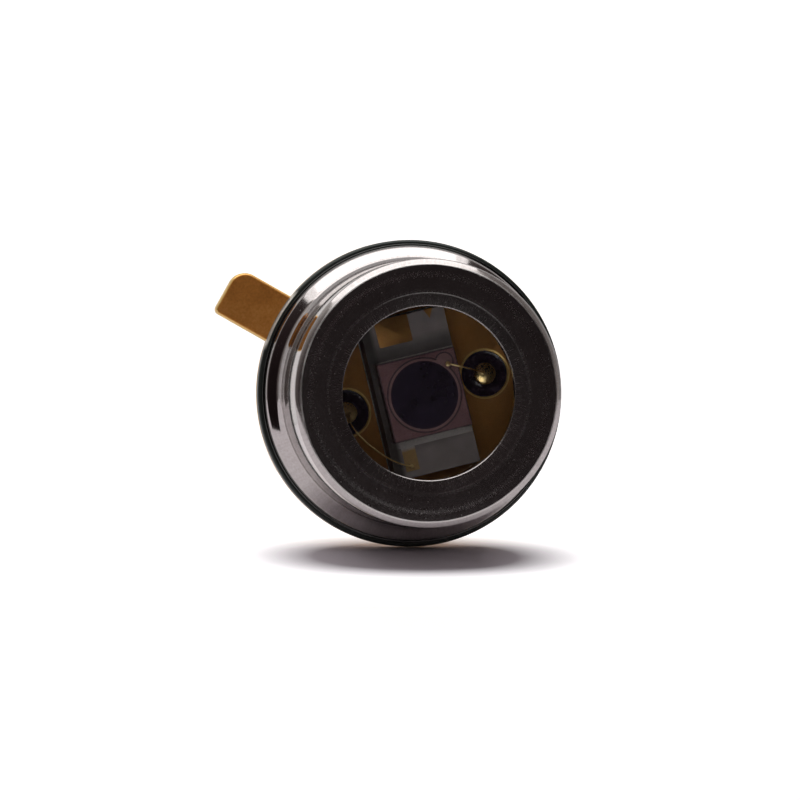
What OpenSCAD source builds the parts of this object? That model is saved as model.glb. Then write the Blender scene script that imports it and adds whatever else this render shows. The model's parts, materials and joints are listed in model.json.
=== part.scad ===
// Photodiode in a small metal can with a flat window.
// Millimetres. Origin at the centre of the seating plane, +Z out of the window,
// +X through the cathode lead. The leads run down along -Z.

/* [Header] */
// Thickness of the header's flange
flange_t = 0.35; // [0.25:0.01:0.5]
// Width of the flange that shows outside the cap's brim
rim_w = 0.07; // [0.05:0.005:0.3]
// Rounding of the flange's edges
flange_edge_r = 0.05; // [0.02:0.01:0.1]
// Height of the platform's top over the seating plane
header_h = 0.85; // [0.65:0.01:1.2]
// Rounding of the platform's top edge
platform_edge_r = 0.08; // [0.02:0.01:0.15]
// Clearance between the platform and the inside of the cap
platform_gap = 0.08; // [0.03:0.01:0.2]

/* [Index tab] */
// Width of the index tab
tab_w = 0.9; // [0.6:0.01:1.17]
// Reach of the tab beyond the flange
tab_l = 1.03; // [0.6:0.01:1.3]
// Height of the tab's underside over the seating plane
tab_lift = 0.03; // [0:0.01:0.1]
// Radius of the tab's corner on its clockwise side
tab_round_a = 0.3; // [0.05:0.01:0.4]
// Radius of the tab's corner on its other side
tab_round_b = 0.1; // [0.05:0.01:0.4]
// Angle of the tab, clockwise from the cathode lead
tab_turn = 45; // [0:1:90]

/* [Leads] */
// Diameter of the leads
lead_d = 0.44; // [0.4:0.01:0.54]
// Diameter of the insulated leads at their tops, to which they taper through the glass
lead_top_d = 0.38; // [0.34:0.01:0.4]
// Length of the leads below the seating plane
lead_l = 8; // [5:0.1:14]
// Diameter of the circle that the leads stand on
lead_circle_d = 2.54; // [2.3:0.01:2.7]
// Height of the insulated leads' tops over the platform
lead_rise = 0.12; // [0.05:0.01:0.3]
// Rounding of the leads' tops
lead_dome_r = 0.09; // [0.03:0.01:0.12]
// Chamfer of the leads' tips
lead_tip_c = 0.07; // [0.02:0.01:0.15]
// Diameter of the glass beads round the insulated leads
seal_d = 0.8; // [0.65:0.01:0.95]
// Depth of the glass below the platform and the underside
seal_dip = 0.06; // [0:0.01:0.15]
// Diameter of the braze round the case lead
braze_d = 0.8; // [0.6:0.01:1]
// Depth of the braze and of the recess that the case lead butts against
braze_t = 0.08; // [0.03:0.01:0.15]

/* [Cap] */
// Outer diameter of the cap's barrel
barrel_d = 4.65; // [4.4:0.01:4.95]
// Wall of the cap's barrel
cap_wall = 0.2; // [0.12:0.01:0.3]
// Thickness of the cap's front
front_t = 0.2; // [0.12:0.01:0.3]
// Width of the weld brim outside the barrel
brim_w = 0.305; // [0.18:0.005:0.4]
// Thickness of the weld brim
brim_t = 0.2; // [0.12:0.01:0.3]
// Rounding of the brim's outer edge
brim_edge_r = 0.1; // [0.02:0.01:0.11]
// Fillet between the brim and the barrel
root_r = 0.2; // [0.03:0.01:0.25]
// Inside radius where the sheet bends into the brim
bend_r = 0.12; // [0.03:0.01:0.18]
// Rounding of the cap's front edge
cap_edge_r = 0.1; // [0.03:0.01:0.18]
// Diameter of the window's aperture
aperture_d = 3; // [2.5:0.01:3.3]
// Width of the coined bevel round the aperture
coin_w = 0.22; // [0.05:0.01:0.35]
// Depth of the coined bevel
coin_t = 0.05; // [0.02:0.005:0.1]

/* [Window] */
// Thickness of the glass
window_t = 0.35; // [0.2:0.01:0.6]
// Bevel of the glass's edges
window_edge_c = 0.03; // [0.01:0.005:0.08]
// Width of the solder-glass ring round the glass
frit_w = 0.15; // [0.08:0.01:0.25]
// Reach of the solder glass below the glass, along the barrel
frit_drop = 0.1; // [0.03:0.01:0.15]
// Clear height between the chip's face and the glass
window_clear = 0.37; // [0.3:0.01:0.9]

/* [Carrier] */
// Length of the ceramic carrier
carrier_l = 2.8; // [2.5:0.01:3]
// Thickness of the ceramic carrier
carrier_t = 0.5; // [0.25:0.01:0.8]
// Width of the carrier beside the chip
carrier_margin = 0.06; // [0.04:0.005:0.1]
// Turn of the carrier from the line of the leads
carrier_turn = -2; // [-4:0.5:4]
// Thickness of the solder layers
solder_t = 0.02; // [0.01:0.005:0.04]
// Reach of the solder beyond what it holds
solder_spill = 0.02; // [0.01:0.005:0.03]
// Thickness of the metal films
film_t = 0.01; // [0.005:0.001:0.02]
// Reach of the chip's pad beyond the chip, towards the strip
pad_reach = 0.12; // [0.05:0.01:0.2]
// Width of the pad's bonding strip
strip_w = 0.24; // [0.15:0.01:0.35]
// Distance of the strip's middle from the carrier's middle
strip_x = 0.43; // [0.3:0.01:0.55]
// Gap between the strip and the carrier's end
strip_end_gap = 0.12; // [0.05:0.01:0.2]
// Width of the spare pad
spare_w = 0.6; // [0.3:0.01:0.7]
// Length of the spare pad
spare_l = 0.48; // [0.3:0.01:0.55]
// Distance of the spare pad's middle from the carrier's middle
spare_x = 0.2; // [0.1:0.01:0.3]
// Width of the V mark
mark_w = 0.16; // [0.08:0.01:0.25]
// Length of the V mark
mark_l = 0.17; // [0.08:0.01:0.3]
// Distance of the V mark from the carrier's middle
mark_x = 0.48; // [0.4:0.01:0.6]

/* [Chip] */
// Diameter of the light-sensitive area
active_d = 1.18; // [0.8:0.01:1.25]
// Width of the chip outside the light-sensitive area
chip_margin = 0.11; // [0.09:0.01:0.15]
// Thickness of the chip
chip_t = 0.28; // [0.15:0.01:0.4]
// Shift of the chip from the carrier's middle, along the line of the leads
chip_x = -0.03; // [-0.035:0.005:0.035]
// Shift of the chip from the carrier's middle, along the carrier
chip_y = 0.04; // [-0.05:0.01:0.1]
// Gap between the light-sensitive area and the ring contact
ring_gap = 0.008; // [0.004:0.001:0.02]
// Width of the ring contact
ring_w = 0.035; // [0.02:0.005:0.06]
// Diameter of the bonding lobe on the ring contact
lobe_d = 0.28; // [0.15:0.01:0.3]
// Reach of the lobe's middle beyond the ring contact
lobe_out = 0.05; // [0:0.01:0.08]
// Direction of the lobe from the chip's middle
lobe_angle = 226; // [200:1:250]

/* [Bond wires] */
// Diameter of the bond wires
wire_d = 0.03; // [0.018:0.001:0.05]
// Diameter of the ball at a wire's start
ball_d = 0.09; // [0.06:0.005:0.12]
// Height of the ball
ball_h = 0.035; // [0.02:0.005:0.05]
// Diameter of the flattened foot at a wire's end
foot_d = 0.08; // [0.05:0.005:0.11]
// Height of the flattened foot
foot_h = 0.02; // [0.01:0.005:0.03]
// Rise of the anode wire's loop over its start
anode_loop = 0.16; // [0.1:0.01:0.2]
// Rise of the cathode wire's loop over the chip's pad
cathode_loop = 0.2; // [0.15:0.01:0.3]
// Sideways bow of the cathode wire, away from the chip
cathode_bow = 0.29; // [0:0.01:0.4]
// Shift of the anode wire's ball on the lobe, towards the anode lead
ball_shift = 0.05; // [0:0.01:0.07]
// Shift of the anode wire's ball on the lobe, along the carrier
ball_slide = 0.06; // [0:0.01:0.07]

/* [Hidden] */

$fn = 96;
// Length by which a cut runs past the face it opens
cut = 1;
// Share of a wire's span over which its loop stays high
loop_share = 0.75;
// Rounding of a ball's upper edge, as a share of its height
ball_round = 0.45;
gold = [0.72, 0.53, 0.22];
pale_gold = [0.78, 0.62, 0.33];
steel = [0.42, 0.40, 0.39];
solder_grey = [0.56, 0.56, 0.57];

barrel_r = barrel_d / 2;
cap_in_r = barrel_r - cap_wall;
brim_r = barrel_r + brim_w;
flange_r = brim_r + rim_w;
platform_r = cap_in_r - platform_gap;
window_r = cap_in_r - frit_w;
lead_r = lead_d / 2;
lead_top_r = lead_top_d / 2;
seal_r = seal_d / 2;
lead_circle_r = lead_circle_d / 2;
lead_top_z = header_h + lead_rise;
tab_t = flange_t - 2 * tab_lift;

cathode_angle = 0;
case_angle = 90;
anode_angle = 180;

chip_w = active_d + 2 * chip_margin;
carrier_w = chip_w + 2 * carrier_margin;
carrier_z = header_h + solder_t;
carrier_top_z = carrier_z + carrier_t;
pad_top_z = carrier_top_z + film_t;
chip_z = pad_top_z + solder_t;
chip_top_z = chip_z + chip_t;
contact_top_z = chip_top_z + film_t;
window_z = contact_top_z + window_clear;
front_under_z = window_z + window_t;
body_h = front_under_z + front_t;

ring_in_r = active_d / 2 + ring_gap;
ring_out_r = ring_in_r + ring_w;
lobe_at = (ring_out_r + lobe_out) * [cos(lobe_angle), sin(lobe_angle)];
strip_end_y = carrier_l / 2 - strip_end_gap;
// A wire lands just inside the edge of its lead's flat top
landing_off = max(0, lead_top_r - lead_dome_r - max(ball_d, foot_d) / 2);

function on_lead_circle(angle) = lead_circle_r * [cos(angle), sin(angle)];
function turned(p) = [p.x * cos(carrier_turn) - p.y * sin(carrier_turn),
    p.x * sin(carrier_turn) + p.y * cos(carrier_turn)];
function unit(v) = v / norm(v);
function bezier(p, t) = pow(1 - t, 3) * p[0] + 3 * t * pow(1 - t, 2) * p[1]
    + 3 * t * t * (1 - t) * p[2] + pow(t, 3) * p[3];

// Outline of an upright slab of revolution from z0 to z1, with rounded outer edges
module round_slab(r, z0, z1, low_r, high_r) {
    translate([0, z0 + low_r]) square([r, z1 - z0 - low_r - high_r]);
    if (low_r > 0) {
        translate([0, z0]) square([r - low_r, low_r]);
        translate([r - low_r, z0 + low_r]) circle(low_r);
    }
    if (high_r > 0) {
        translate([0, z1 - high_r]) square([r - high_r, high_r]);
        translate([r - high_r, z1 - high_r]) circle(high_r);
    }
}

module at_lead(angle) {
    translate(on_lead_circle(angle)) children();
}

module tab_outline() {
    reach = flange_r + tab_l;
    half = tab_w / 2;
    difference() {
        translate([0, -half]) square([reach, tab_w]);
        translate([reach - tab_round_a, -half - cut]) square([tab_round_a + cut, tab_round_a + cut]);
        translate([reach - tab_round_b, half - tab_round_b]) square([tab_round_b + cut, tab_round_b + cut]);
    }
    translate([reach - tab_round_a, -half + tab_round_a]) circle(tab_round_a);
    translate([reach - tab_round_b, half - tab_round_b]) circle(tab_round_b);
}

module header() {
    color(gold) difference() {
        union() {
            rotate_extrude() round_slab(flange_r, 0, flange_t, flange_edge_r, flange_edge_r);
            rotate_extrude() round_slab(platform_r, 0, header_h, 0, platform_edge_r);
            rotate([0, 0, cathode_angle - tab_turn]) translate([0, 0, tab_lift])
                linear_extrude(tab_t) tab_outline();
        }
        for (angle = [cathode_angle, anode_angle]) {
            at_lead(angle) translate([0, 0, -cut]) cylinder(r = seal_r, h = header_h + 2 * cut);
        }
        at_lead(case_angle) translate([0, 0, -cut]) cylinder(r = braze_d / 2, h = braze_t + cut);
    }
}

// Outline of a lead's free end, from its chamfered tip up to top_z
module lead_shaft(top_z) {
    foot_z = -lead_l;
    polygon([[0, foot_z], [lead_r - lead_tip_c, foot_z], [lead_r, foot_z + lead_tip_c],
        [lead_r, top_z], [0, top_z]]);
}

// Outline of an insulated lead's tapered stretch, from the glass's underside to its rounded top
module lead_neck() {
    dome_z = lead_top_z - lead_dome_r;
    polygon([[0, seal_dip], [lead_r, seal_dip], [lead_top_r, dome_z], [0, dome_z]]);
}

module lead_dome() {
    translate([0, lead_top_z - lead_dome_r]) square([lead_top_r - lead_dome_r, lead_dome_r]);
    translate([lead_top_r - lead_dome_r, lead_top_z - lead_dome_r]) intersection() {
        circle(lead_dome_r);
        square(lead_dome_r);
    }
}

module seal(angle) {
    color([0.20, 0.13, 0.24]) at_lead(angle) difference() {
        translate([0, 0, seal_dip]) cylinder(r = seal_r, h = header_h - 2 * seal_dip);
        rotate_extrude() {
            lead_shaft(seal_dip);
            lead_neck();
        }
    }
}

module seal_anode() {
    seal(anode_angle);
}

module seal_cathode() {
    seal(cathode_angle);
}

module insulated_lead(angle) {
    color(pale_gold) at_lead(angle) rotate_extrude() {
        lead_shaft(seal_dip);
        lead_neck();
        lead_dome();
    }
}

module lead_anode() {
    insulated_lead(anode_angle);
}

module lead_cathode() {
    insulated_lead(cathode_angle);
}

module lead_case() {
    color(pale_gold) at_lead(case_angle) rotate_extrude() lead_shaft(braze_t);
}

module case_braze() {
    color(solder_grey) at_lead(case_angle) difference() {
        cylinder(r = braze_d / 2, h = braze_t);
        translate([0, 0, -cut]) cylinder(r = lead_r, h = braze_t + 2 * cut);
    }
}

module cap_profile() {
    brim_top_z = flange_t + brim_t;
    // The fillet stays on the brim's flat top
    fillet_r = min(root_r, brim_w - brim_edge_r);
    difference() {
        union() {
            round_slab(brim_r, flange_t, brim_top_z, 0, brim_edge_r);
            round_slab(barrel_r, flange_t, body_h, 0, cap_edge_r);
            translate([barrel_r, brim_top_z]) difference() {
                square(fillet_r);
                translate([fillet_r, fillet_r]) circle(fillet_r);
            }
        }
        translate([0, flange_t - cut]) square([cap_in_r, front_under_z - flange_t + cut]);
        translate([cap_in_r - cut, flange_t]) difference() {
            square([cut + bend_r, bend_r]);
            translate([cut + bend_r, bend_r]) circle(bend_r);
        }
        translate([0, front_under_z - cut]) square([aperture_d / 2, front_t + 2 * cut]);
        polygon([[0, body_h - coin_t], [aperture_d / 2, body_h - coin_t],
            [aperture_d / 2 + coin_w, body_h], [0, body_h]]);
    }
}

module cap() {
    color(steel) rotate_extrude() cap_profile();
}

module window() {
    color([0.75, 0.80, 0.82, 0.35]) rotate_extrude() polygon([[0, window_z],
        [window_r - window_edge_c, window_z], [window_r, window_z + window_edge_c],
        [window_r, front_under_z - window_edge_c], [window_r - window_edge_c, front_under_z],
        [0, front_under_z]]);
}

module window_frit() {
    color([0.35, 0.34, 0.33]) rotate_extrude() polygon([[window_r, window_z],
        [cap_in_r, window_z - frit_drop], [cap_in_r, front_under_z], [window_r, front_under_z]]);
}

// Flat plate centred on the carrier's own middle line, from z up
module plate(w, l, t, z, x = 0, y = 0) {
    rotate([0, 0, carrier_turn]) translate([x - w / 2, y - l / 2, z]) cube([w, l, t]);
}

module carrier_solder() {
    color(solder_grey)
        plate(carrier_w + 2 * solder_spill, carrier_l + 2 * solder_spill, solder_t, header_h);
}

module carrier() {
    color([0.60, 0.60, 0.61]) plate(carrier_w, carrier_l, carrier_t, carrier_z);
}

module chip_pad() {
    pad_w = chip_w + 2 * solder_spill;
    pad_l = chip_w + solder_spill + pad_reach;
    pad_y = chip_y + (pad_reach - solder_spill) / 2;
    strip_l = strip_end_y - chip_y;
    color([0.70, 0.68, 0.64]) union() {
        plate(pad_w, pad_l, film_t, carrier_top_z, chip_x, pad_y);
        plate(strip_w, strip_l, film_t, carrier_top_z, strip_x, strip_end_y - strip_l / 2);
    }
}

module spare_pad() {
    color(gold) plate(spare_w, spare_l, film_t, carrier_top_z, spare_x, -carrier_l / 2 + spare_l / 2);
}

module index_mark() {
    end_y = -carrier_l / 2;
    color(gold) rotate([0, 0, carrier_turn]) translate([0, 0, carrier_top_z]) linear_extrude(film_t)
        polygon([[-mark_x - mark_w / 2, end_y], [-mark_x + mark_w / 2, end_y], [-mark_x, end_y + mark_l]]);
}

module chip_solder() {
    color(solder_grey) plate(chip_w, chip_w, solder_t, pad_top_z, chip_x, chip_y);
}

module chip() {
    color([0.36, 0.25, 0.28]) plate(chip_w, chip_w, chip_t, chip_z, chip_x, chip_y);
}

module on_chip() {
    rotate([0, 0, carrier_turn]) translate([chip_x, chip_y, chip_top_z]) children();
}

module active_area() {
    color([0.06, 0.06, 0.09]) on_chip() cylinder(d = active_d, h = film_t);
}

module contact_ring() {
    color([0.45, 0.33, 0.36]) on_chip() difference() {
        union() {
            cylinder(r = ring_out_r, h = film_t);
            translate(lobe_at) cylinder(d = lobe_d, h = film_t);
        }
        translate([0, 0, -cut]) cylinder(r = ring_in_r, h = film_t + 2 * cut);
    }
}

// Round tube swept along a list of points that never runs along the vector aside
module swept(path, r, aside) {
    sides = 10;
    last = len(path) - 1;
    along = [for (i = [0:last]) unit(path[min(i + 1, last)] - path[max(i - 1, 0)])];
    points = [for (i = [0:last]) let (
        u = unit(aside - (aside * along[i]) * along[i]),
        v = cross(along[i], u))
        for (k = [0:sides - 1]) path[i] + r * (cos(360 * k / sides) * u + sin(360 * k / sides) * v)];
    skin = [for (i = [0:last - 1]) for (k = [0:sides - 1]) let (n = (k + 1) % sides)
        [i * sides + k, i * sides + n, (i + 1) * sides + n, (i + 1) * sides + k]];
    start = [for (k = [0:sides - 1]) sides - 1 - k];
    end = [for (k = [0:sides - 1]) last * sides + k];
    polyhedron(points = points, faces = concat(skin, [start, end]));
}

// Bond wire: a ball at its start, a loop given by four control points, and a flattened foot
module bond_wire(p) {
    steps = 20;
    path = [for (i = [0:steps]) bezier(p, i / steps)];
    aside = cross(p[3] - p[0], [0, 0, 1]);
    color(pale_gold) union() {
        translate(p[0] - [0, 0, ball_h]) rotate_extrude() round_slab(ball_d / 2, 0, ball_h, 0, ball_h * ball_round);
        swept(path, wire_d / 2, aside);
        translate(p[3] - [0, 0, wire_d / 2]) cylinder(d = foot_d, h = foot_h);
    }
}

module wire_anode() {
    lobe = turned([chip_x - ball_shift, chip_y + ball_slide] + lobe_at);
    pin = on_lead_circle(anode_angle);
    landing = pin - landing_off * unit(pin - lobe);
    start = [lobe.x, lobe.y, contact_top_z + ball_h];
    end = [landing.x, landing.y, lead_top_z + wire_d / 2];
    reach = [end.x - start.x, end.y - start.y, 0];
    bond_wire([start, start + [0, 0, anode_loop], start + reach * loop_share + [0, 0, anode_loop], end]);
}

module wire_cathode() {
    strip = turned([strip_x, strip_end_y - foot_d]);
    pin = on_lead_circle(cathode_angle);
    landing = pin + landing_off * unit(strip - pin);
    start = [landing.x, landing.y, lead_top_z + ball_h];
    end = [strip.x, strip.y, pad_top_z + wire_d / 2];
    reach = [end.x - start.x, end.y - start.y, 0];
    bow = cathode_bow * unit(cross(reach, [0, 0, 1]));
    over = [0, 0, pad_top_z + cathode_loop - start.z];
    bond_wire([start, start + bow + over, start + reach * loop_share + bow + over, end]);
}

header();
seal_anode();
seal_cathode();
lead_anode();
lead_cathode();
lead_case();
case_braze();
cap();
window();
window_frit();
carrier_solder();
carrier();
chip_pad();
spare_pad();
index_mark();
chip_solder();
chip();
active_area();
contact_ring();
wire_anode();
wire_cathode();
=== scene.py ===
import bpy
import bmesh
import json
from math import atan, atan2, cos, pi, radians, sin
from mathutils import Matrix, Vector


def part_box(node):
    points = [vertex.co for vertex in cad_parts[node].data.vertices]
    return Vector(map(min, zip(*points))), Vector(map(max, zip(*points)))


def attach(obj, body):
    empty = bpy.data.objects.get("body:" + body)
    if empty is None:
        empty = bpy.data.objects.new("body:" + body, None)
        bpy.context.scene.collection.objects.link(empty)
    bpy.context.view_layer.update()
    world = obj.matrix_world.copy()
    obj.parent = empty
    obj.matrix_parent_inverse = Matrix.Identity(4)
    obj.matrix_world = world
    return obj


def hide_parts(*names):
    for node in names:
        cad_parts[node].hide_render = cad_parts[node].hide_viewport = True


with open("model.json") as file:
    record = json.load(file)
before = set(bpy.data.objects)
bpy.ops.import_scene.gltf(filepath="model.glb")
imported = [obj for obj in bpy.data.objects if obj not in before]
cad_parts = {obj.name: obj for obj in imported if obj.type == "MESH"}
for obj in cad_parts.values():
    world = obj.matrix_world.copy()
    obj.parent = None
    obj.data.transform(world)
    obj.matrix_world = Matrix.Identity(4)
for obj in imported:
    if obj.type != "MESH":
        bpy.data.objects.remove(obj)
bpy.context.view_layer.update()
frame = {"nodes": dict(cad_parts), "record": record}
print("frame loaded with", len(frame["nodes"]), "CAD nodes")

mm = 0.001  # pieces are modelled in millimetres and scaled once, when they are finished
tiny = 0.0001  # lengths below this count as none
closeBy = 0.01  # slack for a corner or a side that is picked by its place


# Sizes from the frame, and sizes that several pieces share

carrierTurn = radians(-2)
sealSides = 96


def boxMm(node):
    low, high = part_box(node)
    return low / mm, high / mm


def middle(node):
    low, high = boxMm(node)
    return (low + high) / 2


def roundOf(node):
    # radius of an upright round piece
    low, high = boxMm(node)
    return (high.x - low.x) / 2


def plateSize(node):
    # width and length of a turned plate, from the box round it
    low, high = boxMm(node)
    c, s = cos(carrierTurn), abs(sin(carrierTurn))
    wide, long = high.x - low.x, high.y - low.y
    return (wide * c - long * s) / (c * c - s * s), (long * c - wide * s) / (c * c - s * s)


def mountOf(name):
    return next(mount for mount in frame["record"]["mounts"] if mount["name"] == name)


# Small helpers for editing by place

def deselectAll():
    if bpy.context.mode != "OBJECT":
        bpy.ops.object.mode_set(mode="OBJECT")
    bpy.ops.object.select_all(action="DESELECT")


def makeActive(piece):
    deselectAll()
    piece.select_set(True)
    bpy.context.view_layer.objects.active = piece


def applyPlace():
    bpy.ops.object.transform_apply(location=True, rotation=True, scale=True)


def startPiece(name):
    piece = bpy.context.object
    piece.name = piece.data.name = name
    applyPlace()
    bpy.ops.object.mode_set(mode="EDIT")
    return piece


def settlePiece(piece, turn, spot=(0, 0, 0)):
    makeActive(piece)
    piece.rotation_euler = (0, 0, turn)
    piece.location = spot
    applyPlace()


def pickEdges(piece, test):
    bpy.ops.mesh.select_mode(type="EDGE")
    bpy.ops.mesh.select_all(action="DESELECT")
    mesh = bmesh.from_edit_mesh(piece.data)
    for edge in mesh.edges:
        edge.select_set(test(edge))
    bmesh.update_edit_mesh(piece.data)


def onRing(radius, height, centre=(0, 0), slack=0.002):
    spot = Vector(centre)

    def test(edge):
        return all(abs((v.co.xy - spot).length - radius) < slack and abs(v.co.z - height) < slack
                   for v in edge.verts)
    return test


def cornerAt(x, y):
    def test(edge):
        return all(abs(v.co.x - x) < closeBy and abs(v.co.y - y) < closeBy for v in edge.verts)
    return test


def atHeight(edge, *heights):
    return any(all(abs(v.co.z - height) < tiny for v in edge.verts) for height in heights)


def bevelPicked(width, segments):
    bpy.ops.mesh.bevel(offset=width, offset_type="OFFSET", segments=segments, profile=0.5, affect="EDGES")


def roundRings(piece, rounds):
    for radius, height, width, segments in rounds:
        pickEdges(piece, onRing(radius, height))
        bevelPicked(width, segments)


def turnRings(name, rings, sides, hollow=False):
    # a circle is extruded from ring to ring, as on a lathe
    deselectAll()
    radius, height = rings[0]
    bpy.ops.mesh.primitive_circle_add(vertices=sides, radius=radius, location=(0, 0, height),
                                      fill_type="NOTHING" if hollow else "NGON")
    piece = startPiece(name)
    bpy.ops.mesh.select_all(action="SELECT")
    for newRadius, newHeight in list(rings[1:]) + ([rings[0]] if hollow else []):
        bpy.ops.mesh.extrude_region_move(TRANSFORM_OT_translate={"value": (0, 0, newHeight - height)})
        ratio = newRadius / radius
        bpy.ops.transform.resize(value=(ratio, ratio, 1), center_override=(0, 0, newHeight))
        radius, height = newRadius, newHeight
    bpy.ops.mesh.select_all(action="SELECT")
    bpy.ops.mesh.remove_doubles(threshold=tiny)
    bpy.ops.mesh.normals_make_consistent(inside=False)
    return piece


def shiftAll(offset):
    bpy.ops.mesh.select_all(action="SELECT")
    bpy.ops.transform.translate(value=offset)


def combine(piece, other, operation):
    deselectAll()
    step = piece.modifiers.new(operation.lower(), "BOOLEAN")
    step.operation = operation
    step.solver = "EXACT"
    step.object = other
    bpy.context.view_layer.objects.active = piece
    bpy.ops.object.modifier_apply(modifier=step.name)
    bpy.data.objects.remove(other)


drillPast = 1  # a drill runs this far past the faces


def drill(piece, spot, radius, low, high, sides):
    deselectAll()
    bpy.ops.mesh.primitive_cylinder_add(vertices=sides, radius=radius, depth=high - low,
                                        location=(spot.x, spot.y, (low + high) / 2))
    bit = bpy.context.object
    applyPlace()
    combine(piece, bit, "DIFFERENCE")


def finishPiece(piece, node, material, sharpAngle=35):
    makeActive(piece)
    piece.scale = (mm, mm, mm)
    applyPlace()
    bpy.ops.object.shade_smooth_by_angle(angle=radians(sharpAngle))
    shading = piece.modifiers.new("evenShading", "WEIGHTED_NORMAL")
    shading.keep_sharp = True
    bpy.ops.object.modifier_apply(modifier=shading.name)
    piece.data.materials.clear()
    piece.data.materials.append(material)
    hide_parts(node)
    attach(piece, "root")
    return piece


# Small helpers for materials

def addNode(tree, kind, sockets=None, **settings):
    node = tree.nodes.new("ShaderNode" + kind)
    for key, value in settings.items():
        setattr(node, key, value)
    for key, value in (sockets or {}).items():
        if isinstance(value, bpy.types.NodeSocket):
            tree.links.new(value, node.inputs[key])
        else:
            node.inputs[key].default_value = value
    return node


def placeInMm(tree, centre=(0, 0, 0), turn=0):
    coords = addNode(tree, "TexCoord").outputs["Object"]
    sockets = {"Vector": coords, "Location": Vector(centre) * mm, "Rotation": (0, 0, turn),
               "Scale": (mm, mm, mm)}
    return addNode(tree, "Mapping", sockets, vector_type="TEXTURE").outputs["Vector"]


def startMaterial(name, sockets, *where):
    material = bpy.data.materials.new(name)
    material.use_nodes = True
    tree = material.node_tree
    shader = tree.nodes["Principled BSDF"]
    for key, value in sockets.items():
        shader.inputs[key].default_value = value
    return material, tree, shader, placeInMm(tree, *where)


def stretched(tree, place, scale, turn=0):
    sockets = {"Vector": place, "Rotation": (0, 0, turn), "Scale": scale}
    return addNode(tree, "Mapping", sockets).outputs["Vector"]


def partOf(tree, place, axis):
    return addNode(tree, "SeparateXYZ", {0: place}).outputs[axis]


def noise(tree, place, scale, detail=4, rough=0.55):
    sockets = {"Vector": place, "Scale": scale, "Detail": detail, "Roughness": rough}
    return addNode(tree, "TexNoise", sockets).outputs["Fac"]


def cells(tree, place, scale):
    return addNode(tree, "TexVoronoi", {"Vector": place, "Scale": scale}).outputs["Distance"]


def sums(tree, operation, *values):
    return addNode(tree, "Math", dict(enumerate(values)), operation=operation).outputs["Value"]


def vectors(tree, operation, *values):
    node = addNode(tree, "VectorMath", dict(enumerate(values)), operation=operation)
    return node.outputs["Value" if operation in ("LENGTH", "DISTANCE", "DOT_PRODUCT") else "Vector"]


def part(tree, value, share):
    return sums(tree, "MULTIPLY", value, share)


def most(tree, first, *others):
    for other in others:
        first = sums(tree, "MAXIMUM", first, other)
    return first


def blend(tree, first, second, share=0.5):
    return sums(tree, "MULTIPLY_ADD", first, share, part(tree, second, 1 - share))


def spread(tree, value, low, high, fromLow=0.3, fromHigh=0.7):
    sockets = {"Value": value, "From Min": fromLow, "From Max": fromHigh, "To Min": low, "To Max": high}
    return addNode(tree, "MapRange", sockets).outputs["Result"]


def thinLine(tree, distance, at, wide):
    away = sums(tree, "ABSOLUTE", sums(tree, "SUBTRACT", distance, at))
    return spread(tree, away, 1, 0, wide * 0.5, wide)


def ramp(tree, value, stops):
    node = addNode(tree, "ValToRGB", {"Fac": value})
    elements = node.color_ramp.elements
    while len(elements) < len(stops):
        elements.new(0.5)
    for element, (position, color) in zip(elements, stops):
        element.position = position
        element.color = (*color, 1)
    return node.outputs["Color"]


def tones(tree, value, look, low=0.3, high=0.7):
    return ramp(tree, value, [(low, look["dark"]), (high, look["light"])])


def tint(tree, amount, first, second):
    node = addNode(tree, "Mix", {"Factor": amount}, data_type="RGBA")
    for key, value in (("A", first), ("B", second)):
        socket = next(s for s in node.inputs if s.name == key and s.type == "RGBA")
        if isinstance(value, bpy.types.NodeSocket):
            tree.links.new(value, socket)
        else:
            socket.default_value = (*value, 1)
    return next(s for s in node.outputs if s.type == "RGBA")


def fromAxis(tree, place):
    # the place without its height, and how far it is from the axis
    flat = vectors(tree, "MULTIPLY", place, (1, 1, 0))
    return flat, vectors(tree, "LENGTH", flat)


def aroundAxis(tree, place, across, outward, along):
    # coordinates that run fast round the axis and slowly along the radius and the axis
    flat, radius = fromAxis(tree, place)
    heading = vectors(tree, "NORMALIZE", flat)
    axial = part(tree, partOf(tree, place, "Z"), along)
    lengthwise = sums(tree, "MULTIPLY_ADD", radius, outward, axial)
    east = part(tree, partOf(tree, heading, "X"), across)
    north = part(tree, partOf(tree, heading, "Y"), across)
    return addNode(tree, "CombineXYZ", {0: east, 1: north, 2: lengthwise}).outputs["Vector"], radius


def scratches(tree, place, turn, fine, long, start, full):
    lines = noise(tree, stretched(tree, place, (long, fine, long), turn), 1, 3, 0.5)
    return spread(tree, lines, 0, 1, start, full)


def dressShader(tree, shader, look, body, uneven, relief, rougher=()):
    rough = spread(tree, uneven, *look["rough"])
    for amount, share in rougher:
        rough = sums(tree, "MULTIPLY_ADD", amount, share, rough)
    tree.links.new(body, shader.inputs["Base Color"])
    tree.links.new(rough, shader.inputs["Roughness"])
    bump = addNode(tree, "Bump", {"Height": relief, "Strength": 1, "Distance": look["relief"] * mm})
    tree.links.new(bump.outputs["Normal"], shader.inputs["Normal"])


# Camera at the photograph's viewing angle

cameraSetup = {
    "away": 110,  # mm from the flange
    "yaw": radians(8.15),
    "roll": radians(164.3),
    "pixelsPerMm": 56.8,
    "flangeAt": (409.2, 393.3),  # flange's middle in the image
    "imageSide": 800,
    "sensor": 36,
    "flangeHeight": 0.2,
    "clip": (1, 1000),  # mm
}

imageRight = Vector((cos(cameraSetup["roll"]), sin(cameraSetup["roll"]), 0))
imageUp = Vector((-sin(cameraSetup["roll"]), cos(cameraSetup["roll"]), 0))
canAxis = Vector((0, 0, 1))


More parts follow.
